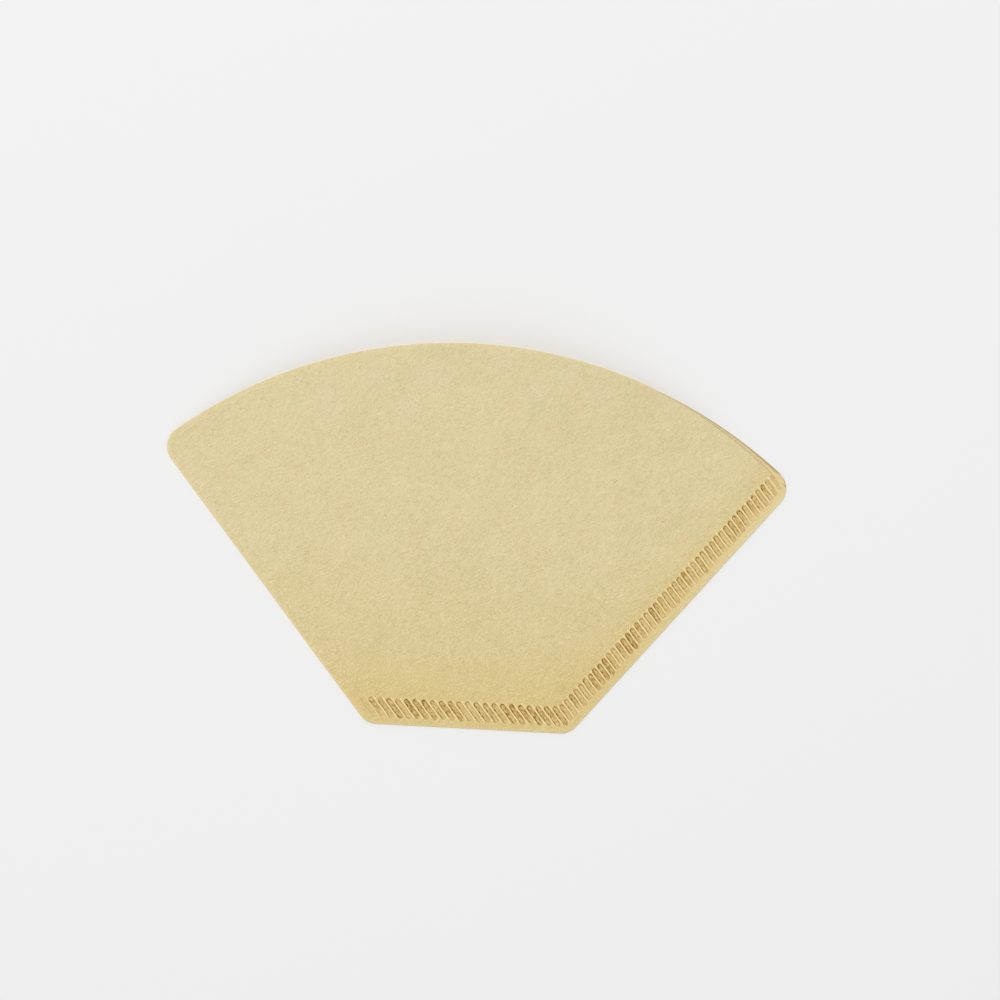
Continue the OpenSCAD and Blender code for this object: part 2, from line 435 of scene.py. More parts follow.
    def floor(self, p, t):
        """How far down to its groove's full depth a place is. The floor swells a little along its middle."""
        i, _, away = self.grooved(p, t)
        swell = self.SWELL * hump(away / (self.half - self.sizes.wall))
        return smooth((self.breadth[i] - away) / self.sizes.wall) * (1 - swell) * self.deep[i]

    def ridge(self, p, t):
        """How far up its ridge a place is. A ridge is half as wide at its ends."""
        j = self.nearest(p, 1 / 2)
        aside = p - self.p[j] - self.sizes.pitch / 2
        to_end = np.minimum(t - self.ridge_start[j], self.ridge_stop[j] - t)
        full = smooth(to_end / (self.TAPER * self.sizes.ridge_width))
        half = self.sizes.ridge_width / 4 * (1 + full)
        return hump(aside / half) * full * self.bright[j]

    def tones(self, p, t):
        """How toasted a place on a groove's floor is, and how dark on the line round it: the toasted crease
        with painted shade, which is darkest at the upper end and on the side towards the fold, where the
        walls face away from the lamp."""
        i, aside, away = self.grooved(p, t)
        along = (t - self.start[i]) / (self.stop[i] - self.start[i])
        along = np.clip(along, -self.OVERRUN, 1 + self.OVERRUN)
        lower = np.maximum(0, 1 - along)
        inner = (self.breadth[i] - away) / self.sizes.wall
        toast = smooth(inner / self.FLOOR_EDGE) * self.tone[i]
        toast = toast * (1 - self.pale_end[i] * lower ** self.PALE_POWER)
        shaded = self.LINE_DARK - self.SHADE_ASIDE * aside / self.half
        shaded = shaded + self.LINE_TOP * rise(along, self.TOP_START, self.TOP_FULL)
        shaded = shaded * (1 - self.LINE_PALE * self.pale_end[i] * lower)
        shaded = shaded * (1 - self.LINE_FOOT * rise(along, self.FOOT_START, self.FOOT_FULL))
        toasted = self.LINE_FAINT + (1 - self.LINE_FAINT) * self.tone[i]
        line = hump((inner - self.LINE_MIDDLE) / self.LINE_HALF)
        return toast, line * np.clip(shaded, 0, 1) * self.fade[i] * toasted


# The paper's faces

class Sheet:
    """Heights of the paper's four faces over the plane that it lies on. A wave's length here is how far it
    goes on in one radian."""

    PARTING = 2.5 * MM  # distance from the seam over which the plies part
    SWELL_POWER = 1.5  # how slowly the front ply starts to rise from the fold and the seam

    LONG_WAVE, LONG_SWAY = 11.5 * MM, 30 * MM  # the front ply's waves away from the fold, and their swaying
    SWAY = 1.2  # how far these sway, in radians
    CROSS_WAVE, CROSS_SLANT = 19 * MM, 27 * MM  # its waves along the fold, and their slant
    CROSS_SHARE, CROSS_START = 0.7, 0.8  # their height, in heights of the others, and start, in radians

    PUCKER_WAVE, PUCKER_DRIFT = 1.9 * MM, 7 * MM  # the short waves beside the crimps, and their unevenness
    PUCKER_SWAY = 2  # how uneven these are, in radians
    PUCKER_REACH = 6 * MM  # how far they reach into the pocket, and how far from the fold they are full

    BACK_WAVE, BACK_CROSS = 13 * MM, 16 * MM  # the back ply's waves away from the fold and along it
    BACK_PARTS, BACK_STARTS = (0.6, 0.4), (2, 1)  # their heights, together 1, and starts, in radians
    BACK_DRIFT, BACK_SWAY = 20 * MM, 0.5  # length of the second waves' swaying, and how far, in radians
    BACK_SHARE = 0.5  # height of the back ply's waves, in heights of the front ply's

    UNDER_EDGE = 1.2 * MM  # distance from the edge over which the underside rises
    UNDER_RISE = 0.07 * MM  # height of the underside beside the pads under the grooves
    UNDER_CREASE = 0.13 * MM  # height of the crease under each ridge

    def __init__(self, plan, crimps, sizes):
        self.plan, self.crimps, self.sizes = plan, crimps, sizes
        self.fold_r = sizes.ply + sizes.fold_gap / 2

    def pocket(self, p, t):
        """0 on the pressed seam and 1 well inside the pocket."""
        return smooth((self.plan.depth(p, t) - self.plan.seam) / self.PARTING)

    def fold_height(self, p, t):
        """Height of the middle of the fold, which the seam presses flat."""
        return self.sizes.ply + (self.fold_r - self.sizes.ply) * self.pocket(p, t)

    def swell(self, p, t):
        """How far the front ply has risen, 0 at the fold, the seam and the base and 1 at the middle of the
        mouth."""
        across, up = self.plan.fan(p, t)
        return (np.sin(math.pi * across) * up) ** self.SWELL_POWER

    def front_wave(self, p, t):
        """Slow waves in the front ply, and shorter ones beside the crimps."""
        slow = np.sin(p / self.LONG_WAVE + self.SWAY * np.sin(t / self.LONG_SWAY))
        cross = np.sin(t / self.CROSS_WAVE - p / self.CROSS_SLANT + self.CROSS_START)
        slow = slow + self.CROSS_SHARE * cross
        inner = np.maximum(0, self.plan.depth(p, t) - self.plan.seam)
        along = p * self.plan.cos + t * self.plan.sin
        short = wave(along / self.PUCKER_WAVE + self.PUCKER_SWAY * np.sin(along / self.PUCKER_DRIFT))
        near = self.pocket(p, t) * np.exp(-inner / self.PUCKER_REACH) * smooth(p / self.PUCKER_REACH)
        return self.sizes.flutter * slow * self.swell(p, t) + self.sizes.pucker * short * near

    def back_wave(self, p, t):
        """Slow waves in the back ply, which never dip under the plane that it lies on."""
        (first, second), (first_start, second_start) = self.BACK_PARTS, self.BACK_STARTS
        sway = self.BACK_SWAY * np.sin(p / self.BACK_DRIFT)
        slow = 1 + first * np.sin(p / self.BACK_WAVE + first_start)
        slow = slow + second * np.sin(t / self.BACK_CROSS + second_start + sway)
        return self.BACK_SHARE * self.sizes.flutter * slow * self.swell(p, t)

    def round_fold(self, p):
        """0 at the fold's edge and 1 where its outer round ends."""
        x = np.clip(p / self.fold_r, 0, 1)
        return np.sqrt(np.maximum(0, 1 - (1 - x) ** 2))

    def inner_fold(self, p):
        """0 where the pocket's fold starts and 1 where its round ends."""
        return rise(p, self.sizes.ply, self.fold_r)

    def front_face(self, p, t, plies):
        """The front ply's upper face with two plies, or its lower one with one, without crimps or fold."""
        sizes = self.sizes
        flat = plies * sizes.ply + sizes.fold_gap * self.pocket(p, t) + sizes.gape * self.swell(p, t)
        return flat + self.front_wave(p, t)

    def front_under(self, p, t):
        """The front ply's face towards the pocket."""
        middle = self.fold_height(p, t)
        return middle + (self.front_face(p, t, 1) - middle) * self.inner_fold(p)

    def back_top(self, p, t):
        """The back ply's face towards the pocket."""
        middle = self.fold_height(p, t)
        return middle + (self.sizes.ply + self.back_wave(p, t) - middle) * self.inner_fold(p)

    def top(self, p, t):
        """The front ply's face, with the crimps, ending in a feather edge where the ply itself ends."""
        ply, crimps, middle = self.sizes.ply, self.crimps, self.fold_height(p, t)
        flat = self.front_face(p, t, 2) + crimps.sizes.ridge_height * crimps.ridge(p, t)
        flat = flat - crimps.sizes.groove_depth * crimps.floor(p, t)
        full = middle + (flat - middle) * self.round_fold(p)
        return ply + (full - ply) * self.ending(p)

    def ending(self, p):
        """1 where there is a front ply and 0 past its end, where the back ply lies alone."""
        return smooth((self.plan.front(p) - self.plan.low(p)) / self.sizes.ply)

    def bottom(self, p, t):
        """The back ply's underside, where the grooves are low pads with a crease between each two."""
        band = (1 - self.pocket(p, t)) * smooth(self.plan.depth(p, t) / self.UNDER_EDGE)
        pads = np.minimum(1, self.crimps.floor(p, t))
        flat = self.back_wave(p, t) + self.UNDER_RISE * band * (1 - pads)
        flat = flat + self.UNDER_CREASE * self.crimps.ridge(p, t)
        return flat + (self.fold_height(p, t) - flat) * (1 - self.round_fold(p))


class MeshParts:
    """Gathers rows and grids of points with their faces, and welds what meets."""

    def __init__(self):
        self.points, self.faces, self.count = [], [], 0

    def add(self, x, y, z):
        """Adds points and gives back their numbers in the shape they came in."""
        x, y, z = np.broadcast_arrays(x, y, z)
        numbers = self.count + np.arange(x.size).reshape(x.shape)
        self.points.append(np.stack([x.ravel(), y.ravel(), z.ravel()], 1))
        self.count += x.size
        return numbers

    def strip(self, first, second):
        """Faces between two rows of as many points."""
        self.faces.append(np.stack([first[:-1], first[1:], second[1:], second[:-1]], 1))

    def grid(self, numbers):
        """Faces between all rows of a grid of points."""
        for low, high in zip(numbers.T[:-1], numbers.T[1:]):
            self.strip(low, high)

    def fans(self, fine, coarse, marks):
        """Triangles between a fine row and a coarse one, whose points stand at the marks of the fine row."""
        made = []
        for i, (first, last) in enumerate(zip(marks[:-1], marks[1:])):
            half = (first + last + 1) // 2
            made += [(fine[k], fine[k + 1], coarse[i]) for k in range(first, half)]
            made += [(fine[k], fine[k + 1], coarse[i + 1]) for k in range(half, last)]
            made.append((fine[half], coarse[i + 1], coarse[i]))
        made = np.array(made)
        self.faces.append(np.column_stack([made, made[:, 2]]))

    def welded(self):
        """The points without doubles, and each face as a list of three or four different points."""
        points = np.concatenate(self.points)
        keys = np.rint(points / WELD).astype(np.int64)
        _, first, same = np.unique(keys, axis=0, return_index=True, return_inverse=True)
        faces = []
        for face in same.reshape(-1)[np.concatenate(self.faces)].tolist():
            kept = [number for i, number in enumerate(face) if number != face[i - 1]]
            if len(kept) > 2 and len(set(kept)) == len(kept):
                faces.append(kept)
        return points[first], faces


class PaperShape:
    """The whole filter as one closed mesh. Its points stand in columns that run along the grooves: fine ones
    through the seam, and of these only a coarse choice through the pocket."""

    ROWS = 62  # points in a coarse column
    CROWDING, CROWDING_POWER = 0.4, 1.8  # how much closer together these are beside the seam
    BRIM = 0.15 * MM  # depth of the first row, and how far past the grooves their last row lies
    OUTER = 0.45 * MM  # how far outside the grooves the plain margin's rows end
    BEFORE = 0.25 * MM  # how far outside the grooves their own rows start
    BETWEEN = 0.35 * MM  # distance from the close rows at the grooves' ends to the next ones
    MARGIN_ROWS, END_ROWS, MIDDLE_ROWS = 3, 8, 4  # rows on the margin, and at a groove's ends and middle
    EARLIER = 2  # how many pitches before the first groove its kind of columns start
    WALL_STEPS = (2.2, 1.4, 0.8, 0.3, -0.05)  # columns inside a groove's edge, in widths of its wall
    SHOULDER = 0.45  # one more column, this share of the way from that edge to the ridge's middle
    NOSE = (0.04 * MM, 0.12 * MM, 0.5 * MM, 0.8 * MM)  # columns round the fold
    TIP, TIP_STEPS = 0.45 * MM, 4  # stretch at the seam's end with closer and closer columns
    SPARE = 0.1 * MM  # least distance from both to the grooves' columns
    END_SPARE = 0.3 * MM  # least distance to the column at which the pocket ends
    CLOSE = 1e-3  # how near a column on a groove's or a ridge's middle lies to it, in halves of the pitch
    LEDGE = (0.1 * MM, 0.3 * MM, 0.6 * MM)  # rows of the back ply past the front ply's mouth edge
    CUT_INSET = 0.04 * MM  # how far the middle of the cut edge stands back

    def __init__(self, sizes, crimp_sizes):
        self.plan = Plan(sizes, crimp_sizes)
        self.crimps = Crimps(self.plan, crimp_sizes)
        self.sheet = Sheet(self.plan, self.crimps, sizes)
        self.parts = MeshParts()
        end_p = self.plan.pocket_end()
        fine = self.columns(sizes, crimp_sizes)
        self.fine = np.array(sorted({*fine[np.abs(fine - end_p) > self.END_SPARE], end_p}))
        halves = (self.fine - crimp_sizes.first_groove) / (crimp_sizes.pitch / 2)
        on_middle = np.abs(halves - np.rint(halves)) < self.CLOSE
        wanted = on_middle | (self.fine <= self.NOSE[-1]) | (self.fine == end_p)
        self.marks = np.flatnonzero(wanted & (self.fine <= end_p))
        self.coarse = self.fine[self.marks]
        self.tip = self.fine[self.fine >= end_p]
        self.inner = self.coarse[self.coarse >= sizes.ply]
        self.build(crimp_sizes)

    def columns(self, sizes, crimps):
        """Distances from the fold at which the seam is drawn: close together at the fold, at each groove's
        sides and at the seam's end."""
        half, pitch = crimps.groove_width / 2, crimps.pitch
        steps = [half - step * crimps.wall for step in self.WALL_STEPS]
        steps += [half + self.SHOULDER * (pitch / 2 - half)]
        steps = [0, *steps, *[-step for step in steps], pitch / 2]
        count = int(self.plan.last_p / pitch) + 1
        starts = [crimps.first_groove + pitch * i for i in range(-self.EARLIER, count)]
        bumps = [start + step for start in starts for step in steps]
        nose = [0, sizes.ply, self.sheet.fold_r, *self.NOSE]
        end = [self.plan.last_p - self.TIP * (k / self.TIP_STEPS) ** 2 for k in range(self.TIP_STEPS + 1)]
        kept = [p for p in bumps if nose[-1] + self.SPARE < p < end[-1] - self.SPARE]
        return np.array(sorted({*nose, *kept, *end}))

    def depths(self, crimps):
        """Depths inside the edge at which the seam is drawn: close together at both ends of the grooves."""
        margin, stop, round_end = crimps.margin, crimps.margin + crimps.width, crimps.groove_width
        outer = np.linspace(self.BRIM, margin - self.OUTER, self.MARGIN_ROWS)
        start = np.linspace(margin - self.BEFORE, margin + round_end, self.END_ROWS)
        first, last = margin + round_end + self.BETWEEN, stop - round_end - self.BETWEEN
        middle = np.linspace(first, last, self.MIDDLE_ROWS)
        end = np.linspace(stop - round_end, stop + self.BRIM, self.END_ROWS)
        return np.array(sorted({0, *outer, *start, *middle, *end, stop + self.BETWEEN, self.plan.seam}))

    def face(self, height, p, t):
        """Adds points at these places, at the height that this function gives them."""
        p, t = np.broadcast_arrays(p, t)
        return self.parts.add(*self.plan.place(p, t), height(p, t))

    def pocket_rows(self, p):
        """Places along each column from the seam's inner line to the mouth, closer together at the seam."""
        last = self.plan.front(p)[:, None]
        first = np.minimum(self.plan.inside(p, self.plan.seam)[:, None], last)
        up = np.linspace(0, 1, self.ROWS)[None, :]
        crowded = (1 - self.CROWDING) * up + self.CROWDING * up ** self.CROWDING_POWER
        return first + (last - first) * crowded

    def build(self, crimps):
        """The four faces of the two plies, then what joins them."""
        plan, sheet, parts, fine = self.plan, self.sheet, self.parts, self.fine
        rows = plan.inside(fine[:, None], self.depths(crimps)[None, :])
        band_t = np.clip(rows, plan.low(fine)[:, None], plan.front(fine)[:, None])
        pocket_t = self.pocket_rows(self.coarse)
        sides = []
        for height in (sheet.top, sheet.bottom):
            band = self.face(height, fine[:, None], band_t)
            pocket = self.face(height, self.coarse[:, None], pocket_t)
            parts.grid(band)
            parts.fans(band[:, -1], pocket[:, 1], self.marks)
            parts.grid(pocket[:, 1:])
            sides.append((band, pocket))
        first_inner = len(self.coarse) - len(self.inner)
        inner_t = pocket_t[first_inner:]
        front_under = self.face(sheet.front_under, self.inner[:, None], inner_t)
        back_top = self.face(sheet.back_top, self.inner[:, None], inner_t)
        parts.grid(front_under)
        parts.grid(back_top)
        self.cut_edges(sides, front_under, back_top, first_inner)

    def ledge(self, row, p):
        """The back ply's face from this row, at the front ply's mouth edge, on to its own edge."""
        for past in (*self.LEDGE, self.plan.mouth_r):
            reached = np.minimum(self.plan.front(p) + past, self.plan.high(p))
            following = self.face(self.sheet.back_top, p, reached)
            self.parts.strip(row, following)
            row = following
        return row

    def cut_edges(self, sides, front_under, back_top, first_inner):
        """The cut edges along the seam and round the mouth, and the ledge of the back ply past the front."""
        plan, sheet, parts, fine, tip = self.plan, self.sheet, self.parts, self.fine, self.tip
        (top_band, top_pocket), (bottom_band, bottom_pocket) = sides
        first_tip = len(fine) - len(tip)

        inset = self.CUT_INSET * sheet.ending(fine)
        between = self.face(lambda p, t: 0 * p + sheet.sizes.ply, fine, plan.low(fine) + inset)
        between[0] = top_band[0, 0]
        parts.strip(bottom_band[:, 0], between)
        parts.strip(between, top_band[:, 0])

        ledge_start = self.face(sheet.back_top, tip, plan.front(tip))
        ledge_end = self.ledge(ledge_start, tip)
        ledge_under = self.face(sheet.bottom, tip, plan.high(tip))
        parts.strip(top_band[first_tip:, -1], ledge_start)
        parts.strip(ledge_end, ledge_under)
        parts.strip(ledge_under, bottom_band[first_tip:, -1])

        rim = self.ledge(back_top[:, -1], self.inner)
        rim_under = self.face(sheet.bottom, self.coarse, plan.high(self.coarse))
        parts.strip(top_pocket[first_inner:, -1], front_under[:, -1])
        parts.strip(rim, rim_under[first_inner:])
        parts.strip(rim_under, bottom_pocket[:, -1])
        hairpin = slice(0, first_inner + 1)
        parts.strip(top_pocket[hairpin, -1], rim_under[hairpin])
        corner = [top_pocket[first_inner, -1], front_under[0, -1], rim[0], rim_under[first_inner]]
        parts.faces.append(np.array([corner]))


def closed_mesh(name, points, faces):
    """A mesh of these points and faces with its normals outwards. A mesh that isn't closed is an error."""
    mesh = bpy.data.meshes.new(name)
    mesh.from_pydata(points.tolist(), [], faces)
    if mesh.validate():
        raise RuntimeError("the paper has faces that aren't sound")
    work = bmesh.new()
    work.from_mesh(mesh)
    bmesh.ops.delete(work, geom=[v for v in work.verts if not v.link_faces], context="VERTS")
    open_edges = sum(not edge.is_manifold for edge in work.edges)
    if open_edges:
        raise RuntimeError(f"the paper isn't closed at {open_edges} edges")
    bmesh.ops.recalc_face_normals(work, faces=work.faces)
    work.to_mesh(mesh)
    work.free()
    return mesh


class PaperPaint:
    """What the paper's colours need to know at each point: how toasted it is, how dark its line of toast and
    painted shade round a groove, how near a ridge's painted highlight, the fold's burnish and painted
    highlight, a cut edge, the painted shadow past the front ply's mouth edge, the painted shade between the
    plies or the warm seam, and whether it lies on the plain margin or the crimped band."""

    BASE_WARMTH, BASE_REACH = 1.32, 21 * MM  # the warm tint above the base, and how far up it fades
    SIDE_WARMTH, SIDE_REACH = 0.45, 5 * MM  # the same beside the crimped side
    MARGIN_ENDS = (0.8, 1.2)  # where the plain margin starts and has ended to fade, in margins
    BAND_ENDS = (0.5 * MM, -0.1 * MM)  # where the band's colour ends and is full, past its width
    FOLD = 0.8 * MM  # width of the pale line along the fold: its burnish, with a painted highlight
    RIM = 0.5 * MM  # width of the pale line along the cut edges
    STEP_SHADOW = (0.1 * MM, 0.2 * MM, 0.6 * MM)  # where the painted shadow past the front ply's edge is full, fades and ends
    GAP_SHADE_HALF = 0.03 * MM  # half height of the painted shade between the plies on the cut edge
    GAP_SHADE_ENDS = (0.1 * MM, 0.05 * MM)  # how far inside the edge that painted shade ends and is full

    def __init__(self, plan, crimps, ply):
        self.plan, self.crimps, self.ply = plan, crimps, ply

    def warmth(self, p, t):
        """How much the heat of the crimping has warmed the paper."""
        above_base = np.maximum(0, self.plan.base_depth(p, t))
        past_seam = np.maximum(0, self.plan.side_depth(p, t) - self.plan.seam)
        warmth = self.BASE_WARMTH * np.exp(-above_base / self.BASE_REACH)
        return np.minimum(1, warmth + self.SIDE_WARMTH * np.exp(-past_seam / self.SIDE_REACH))

    def values(self, places):
        """A value for each place under each name."""
        plan, crimps, sizes = self.plan, self.crimps, self.crimps.sizes
        x, y, z = places.T
        p, t = plan.unplace(x, y)
        toast, line = crimps.tones(p, t)
        depth = plan.depth(p, t)
        to_edge = np.minimum(t - plan.low(p), plan.high(p) - t)
        past_front = t - plan.front(p)

        margin = 1 - rise(depth, *[share * sizes.margin for share in self.MARGIN_ENDS])
        band = rise(depth, *[sizes.margin + sizes.width + past for past in self.BAND_ENDS])
        band = band * (1 - margin) * crimps.fade[crimps.nearest(p, 0)]
        band = band * smooth((crimps.p[-1] + sizes.pitch - p) / sizes.pitch)
        full, fading, gone = self.STEP_SHADOW
        ply_gap_shade = (1 - smooth(np.abs(z - self.ply) / self.GAP_SHADE_HALF)) * rise(to_edge, *self.GAP_SHADE_ENDS)
        return {
            "toast": toast, "line": line, "ridge": crimps.ridge(p, t),
            "fold": rise(p, self.FOLD, 0), "rim": rise(to_edge, self.RIM, 0),
            # step: painted shadow on the back ply just past the front ply's mouth edge
            "step": rise(past_front, 0, full) * rise(past_front, gone, fading),
            "warmth": self.warmth(p, t), "margin": margin, "band": band, "ply_gap_shade": ply_gap_shade}

    def store(self, mesh):
        """Stores the values with the mesh's points."""
        places = np.empty(len(mesh.vertices) * 3)
        mesh.vertices.foreach_get("co", places)
        for name, values in self.values(places.reshape(-1, 3)).items():
            attribute = mesh.attributes.new(name, "FLOAT", "POINT")
            attribute.data.foreach_set("value", values.astype(np.float32))


# Materials

class Value:
    """A value in a material. Arithmetic on values adds the nodes that work it out."""

    def __init__(self, shader, socket):
        self.shader, self.socket = shader, socket

    def __add__(self, other):
        return self.shader.maths("ADD", self, other)

    def __sub__(self, other):
        return self.shader.maths("SUBTRACT", self, other)

    def __mul__(self, other):
        return self.shader.maths("MULTIPLY", self, other)

    def __radd__(self, other):
        return self.shader.maths("ADD", other, self)

    def __rsub__(self, other):
        return self.shader.maths("SUBTRACT", other, self)

    def __rmul__(self, other):
        return self.shader.maths("MULTIPLY", other, self)

    def clamped(self):
        """The value kept between 0 and 1."""
        return self.shader.maths("ADD", self, 0, use_clamp=True)


class Shader:
    """Adds nodes to the node tree of a material or a world."""

    def __init__(self, owner):
        owner.use_nodes = True
        self.tree = owner.node_tree
        self.tree.nodes.clear()

    def node(self, kind, settings=None, sockets=None, output=0):
        """A node of this type: its settings are made first, then its sockets get their values or links."""
        made = self.tree.nodes.new(kind)
        for name, value in (settings or {}).items():
            setattr(made, name, value)
        for name, value in (sockets or {}).items():
            if isinstance(value, Value):
                self.tree.links.new(value.socket, made.inputs[name])
            else:
                made.inputs[name].default_value = value
        return Value(self, made.outputs[output]) if made.outputs else None

    def maths(self, operation, first, second, **settings):
        """A Math node's value."""
        return self.node("ShaderNodeMath", {"operation": operation, **settings}, {0: first, 1: second})

    def mix(self, share, first, second):
        """A mix of two colours, which are values or red, green and blue."""
        first, second = [c if isinstance(c, Value) else (*c, 1) for c in (first, second)]
        return self.node("ShaderNodeMix", {"data_type": "RGBA"}, {0: share, 6: first, 7: second}, output=2)

    def attribute(self, name):
        """A value that is stored with the mesh's points."""
        return self.node("ShaderNodeAttribute", {"attribute_name": name}, output=2)

    def marks(self, places, long, wide, turn, detail=2, roughness=0.5, distortion=0):
        """Noise in marks of this length and width, which lie turned by this angle in degrees."""
        stretched = self.node("ShaderNodeMapping", {"vector_type": "TEXTURE"},
                              {0: places, 2: (0, 0, math.radians(turn)), 3: (long, wide, wide)})
        return self.node("ShaderNodeTexNoise", {"noise_dimensions": "3D"}, {
            "Vector": stretched, "Scale": 1, "Detail": detail, "Roughness": roughness,
            "Distortion": distortion})

    def ramp(self, value, start, full):
        """The same smooth step as rise makes, for a value in a material."""
        return self.node("ShaderNodeMapRange", {"interpolation_type": "SMOOTHSTEP"},
                         {"Value": value, "From Min": start, "From Max": full, "To Min": 0, "To Max": 1})


MEAN = 0.5  # what a noise is on average


def paper_material(look, side_angle):
    """Unbleached filter paper: clouds, fine slanting wrinkles and fibres, and toasted crimps, with painted
    shade round the grooves, past the front ply's edge and between the plies, and painted highlights on the
    ridges and the fold.
    """
    material = bpy.data.materials.new("creped_filter_paper")
    shader = Shader(material)
    places = shader.node("ShaderNodeTexCoord", output=3)
    across = math.degrees(side_angle)
    along = across + 90
    contrast = 1.7

    # Noises, each with the length, width and turn of its marks
    clouds = shader.marks(places, 12 * MM, 8 * MM, 30)
    tint = shader.marks(places, 7 * MM, 5 * MM, 70)
    mottle = shader.marks(places, 1.6 * MM, 1.0 * MM, 40)
    wrinkles = shader.marks(places, 1.8 * MM, 0.38 * MM, across, distortion=0.4)
    grain = shader.marks(places, 0.36 * MM, 0.25 * MM, 41, roughness=0.6)
    streaks = shader.marks(places, 2.4 * MM, 0.24 * MM, along, detail=1)
    dashes = shader.marks(places, 1.0 * MM, 0.36 * MM, along, detail=1)
    steep_fibres = shader.marks(places, 3.2 * MM, 0.2 * MM, 62, detail=1, distortion=0.3)
    level_fibres = shader.marks(places, 2.6 * MM, 0.18 * MM, -18, detail=1, distortion=0.3)
    fibres = (shader.ramp(steep_fibres, 0.6, 0.72) + shader.ramp(level_fibres, 0.62, 0.74)).clamped()

    toast, line, ridge, margin = (shader.attribute(name) for name in ("toast", "line", "ridge", "margin"))
    fold, rim, step, ply_gap_shade = (shader.attribute(name) for name in ("fold", "rim", "step", "ply_gap_shade"))
    warmth, band = shader.attribute("warmth"), shader.attribute("band")

    # The plain paper: its clouds, mottle and fibres, with the painted light and shade of its fine wrinkles
    fine = (wrinkles - MEAN) * 1.1 + (grain - MEAN) * 2.8
    shade = (clouds - MEAN) * 0.35 + (mottle - MEAN) * 0.5 + fine * (0.8 + 0.6 * warmth)
    light = (shade * contrast + fibres * 0.3) * (1 - 0.4 * warmth)
    colour = shader.mix(shader.ramp(tint, 0.5, 0.72), look.paper, look.rosy)
    colour = shader.mix(shader.ramp(tint, 0.5, 0.28), colour, look.green)
    colour = shader.mix(warmth, colour, look.warm)
    colour = shader.mix(margin * (0.4 - 0.35 * warmth), colour, look.ridge)
    colour = shader.mix(band * 0.85, colour, look.golden)
    colour = shader.mix(light.clamped(), colour, look.pale)
    colour = shader.mix((shade * -contrast).clamped(), colour, look.dark)

    # The crimps, the fold and the edges, with painted shade and highlights
    speckle = shader.ramp(dashes * 0.6 + streaks * 0.4, 0.4, 0.6)
    toasted = (toast * (0.25 + 1.35 * speckle)).clamped()
    floor_colour = shader.mix(shader.ramp(tint + 0.6 * (mottle - MEAN), 0.54, 0.7), look.toast, look.rust)
    colour = shader.mix(toasted, colour, floor_colour)
    specks = toast * shader.ramp(dashes * 0.7 + grain * 0.3, 0.49, 0.57)
    # The line round a groove is toast with painted shade, and the step a painted shadow past the front ply's
    # edge
    lines = line * (0.45 + speckle) + specks * 0.42 + step * 0.8
    colour = shader.mix(lines.clamped(), colour, look.crease_shade_and_specks)
    # Painted highlight on the ridges and along the fold, with the fold's burnish and the paler cut edges
    colour = shader.mix((ridge * 2 + fold * 0.4 + rim * 0.2).clamped(), colour, look.ridge)
    # Painted shade between the plies on the cut edge
    colour = shader.mix(shader.ramp(ply_gap_shade, 0.4, 1) * 0.6, colour, look.crease_shade_and_specks)

    height = wrinkles * 0.6 + mottle * 0.2 + grain * 0.3 + fibres * 0.1
    bump = shader.node("ShaderNodeBump", None, {"Strength": 1, "Distance": look.creping, "Height": height})
    rough = look.roughness + (grain - MEAN) * 0.12 - ridge * 0.08
    surface = shader.node("ShaderNodeBsdfPrincipled", None, {
        "Base Color": colour, "Roughness": rough.clamped(), "Normal": bump,
        "Specular IOR Level": 0.25, "Sheen Weight": 0.06, "Sheen Roughness": 0.6})
    shader.node("ShaderNodeOutputMaterial", None, {"Surface": surface})
    return material


def floor_material(look):
    """A plain floor that fades into the backdrop well away from the filter."""
    material = bpy.data.materials.new("plain_floor")
    shader = Shader(material)
    floor = shader.node("ShaderNodeBsdfPrincipled", None, {
        "Base Color": (*look.floor, 1), "Roughness": 0.9, "Specular IOR Level": 0.1})
    backdrop = shader.node("ShaderNodeBsdfTransparent")
    places = shader.node("ShaderNodeTexCoord", output=3)
    away = shader.node("ShaderNodeVectorMath", {"operation": "LENGTH"}, {0: places}, output=1)
    fade = shader.ramp(away, look.floor_near, look.floor_far)
    surface = shader.node("ShaderNodeMixShader", None, {0: fade, 1: floor, 2: backdrop})
    shader.node("ShaderNodeOutputMaterial", None, {"Surface": surface})
    return material


# Operators

OUTLINE_SLACK = 0.1 * MM  # how far the paper's outline may lie off the solid's


def check_fit(mesh):
    """The paper's outline has to be the solid's own."""
    low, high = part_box(SOLID)
    places = np.array([v.co for v in mesh.vertices])
    for axis in (0, 1):
        gap = max(abs(places[:, axis].min() - low[axis]), abs(places[:, axis].max() - high[axis]))
        if gap > OUTLINE_SLACK:
            raise RuntimeError(f"the paper's outline is {gap / MM:.2f} mm off the solid's along axis {axis}")


class FILTER_OT_paper(bpy.types.Operator):
    """Builds the folded and crimped paper"""
    bl_idname = "filter.paper"
    bl_label = "Build the paper"
    SHARP = math.radians(42)  # an edge with a sharper turn than this stays an edge

    def execute(self, context):
        scene, sizes = context.scene, context.scene.filter_sizes
        shape = PaperShape(sizes, scene.filter_crimps)
        mesh = closed_mesh(PIECE, *shape.parts.welded())
        check_fit(mesh)
        PaperPaint(shape.plan, shape.crimps, sizes.ply).store(mesh)
        mesh.materials.append(paper_material(scene.filter_look, sizes.side_angle))
        mesh.shade_smooth()
        mesh.set_sharp_from_angle(angle=self.SHARP)
        paper = bpy.data.objects.new(PIECE, mesh)
        scene.collection.objects.link(paper)
        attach(paper, "root")
        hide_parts(SOLID)
        return {"FINISHED"}


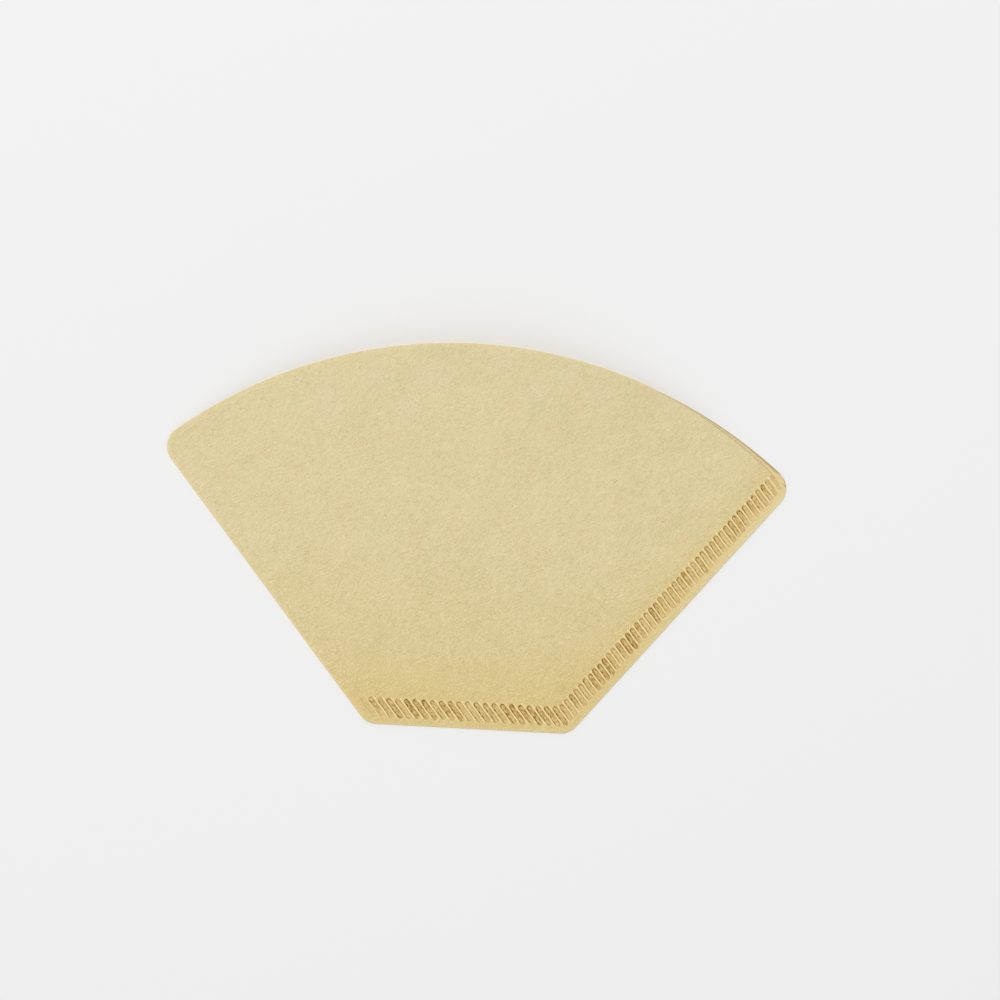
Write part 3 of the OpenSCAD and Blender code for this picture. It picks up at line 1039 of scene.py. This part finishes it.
class FILTER_OT_stage(bpy.types.Operator):
    """Makes the floor, the light and the camera"""
    bl_idname = "filter.stage"
    bl_label = "Set the stage"
    FLOOR_HALF = 6  # half the floor's width, in metres
    FLOOR_DROP = 0.05 * MM  # how far the floor lies under the paper
    LAMP_PLACE = (-0.3, 0.6, 2.15)
    PICTURE_MIDDLE = (6.67 * MM, 10.06 * MM, 0)
    NEAREST, FARTHEST = 0.01, 20  # distances between which the camera sees

    def execute(self, context):
        scene, look = context.scene, context.scene.filter_stage
        scene.view_settings.view_transform = "Standard"
        self.make_floor(scene, look)
        self.make_light(scene, look)
        self.make_camera(scene, look)
        return {"FINISHED"}

    def make_floor(self, scene, look):
        """A wide floor just under the paper."""
        half = self.FLOOR_HALF
        mesh = bpy.data.meshes.new("floor")
        corners = [(-half, -half, 0), (half, -half, 0), (half, half, 0), (-half, half, 0)]
        mesh.from_pydata(corners, [], [(0, 1, 2, 3)])
        mesh.materials.append(floor_material(look))
        floor = bpy.data.objects.new("floor", mesh)
        floor.location.z = cad_box[0].z - self.FLOOR_DROP
        scene.collection.objects.link(floor)

    def make_light(self, scene, look):
        """An even room, and one large soft lamp at the upper left of the picture."""
        world = bpy.data.worlds.new("room")
        shader = Shader(world)
        seen = shader.node("ShaderNodeLightPath", output=0)
        strength = look.room_light + (1 - look.room_light) * seen
        room = shader.node("ShaderNodeBackground", None, {"Color": (1, 1, 1, 1), "Strength": strength})
        shader.node("ShaderNodeOutputWorld", None, {"Surface": room})
        scene.world = world
        lamp = bpy.data.lights.new("soft_lamp", "AREA")
        lamp.shape, lamp.size, lamp.energy = "DISK", look.lamp_size, look.lamp_power
        holder = bpy.data.objects.new("soft_lamp", lamp)
        holder.location = self.LAMP_PLACE
        holder.rotation_euler = (-holder.location).to_track_quat("-Z", "Y").to_euler()
        scene.collection.objects.link(holder)

    def make_camera(self, scene, look):
        """A camera that looks straight down, with the filter turned in the picture as it lay."""
        camera = bpy.data.cameras.new("camera")
        camera.lens = camera.sensor_width * look.camera_height / look.picture_width
        camera.clip_start, camera.clip_end = self.NEAREST, self.FARTHEST
        holder = bpy.data.objects.new("camera", camera)
        holder.location = Vector(self.PICTURE_MIDDLE) + Vector((0, 0, look.camera_height))
        holder.rotation_euler = (0, 0, look.picture_turn)
        scene.collection.objects.link(holder)
        scene.camera = holder


class FILTER_PT_panel(bpy.types.Panel):
    """Lists the filter's sizes and colours, and what builds it"""
    bl_label = "Paper Coffee Filter"
    bl_idname = "FILTER_PT_panel"
    bl_space_type = "VIEW_3D"
    bl_region_type = "UI"
    bl_category = "Filter"

    def draw(self, context):
        for name, group in GROUPS.items():
            box = self.layout.box()
            for prop in group.__annotations__:
                box.prop(getattr(context.scene, name), prop)
        self.layout.operator(FILTER_OT_paper.bl_idname)
        self.layout.operator(FILTER_OT_stage.bl_idname)


CLASSES = (*GROUPS.values(), FILTER_OT_paper, FILTER_OT_stage, FILTER_PT_panel)


def register():
    for item in CLASSES:
        bpy.utils.register_class(item)
    for name, group in GROUPS.items():
        setattr(bpy.types.Scene, name, PointerProperty(type=group))


def unregister():
    for name in GROUPS:
        delattr(bpy.types.Scene, name)
    for item in reversed(CLASSES):
        bpy.utils.unregister_class(item)


def main():
    register()
    bpy.ops.filter.paper()
    bpy.ops.filter.stage()


if __name__ == "__main__":
    main()
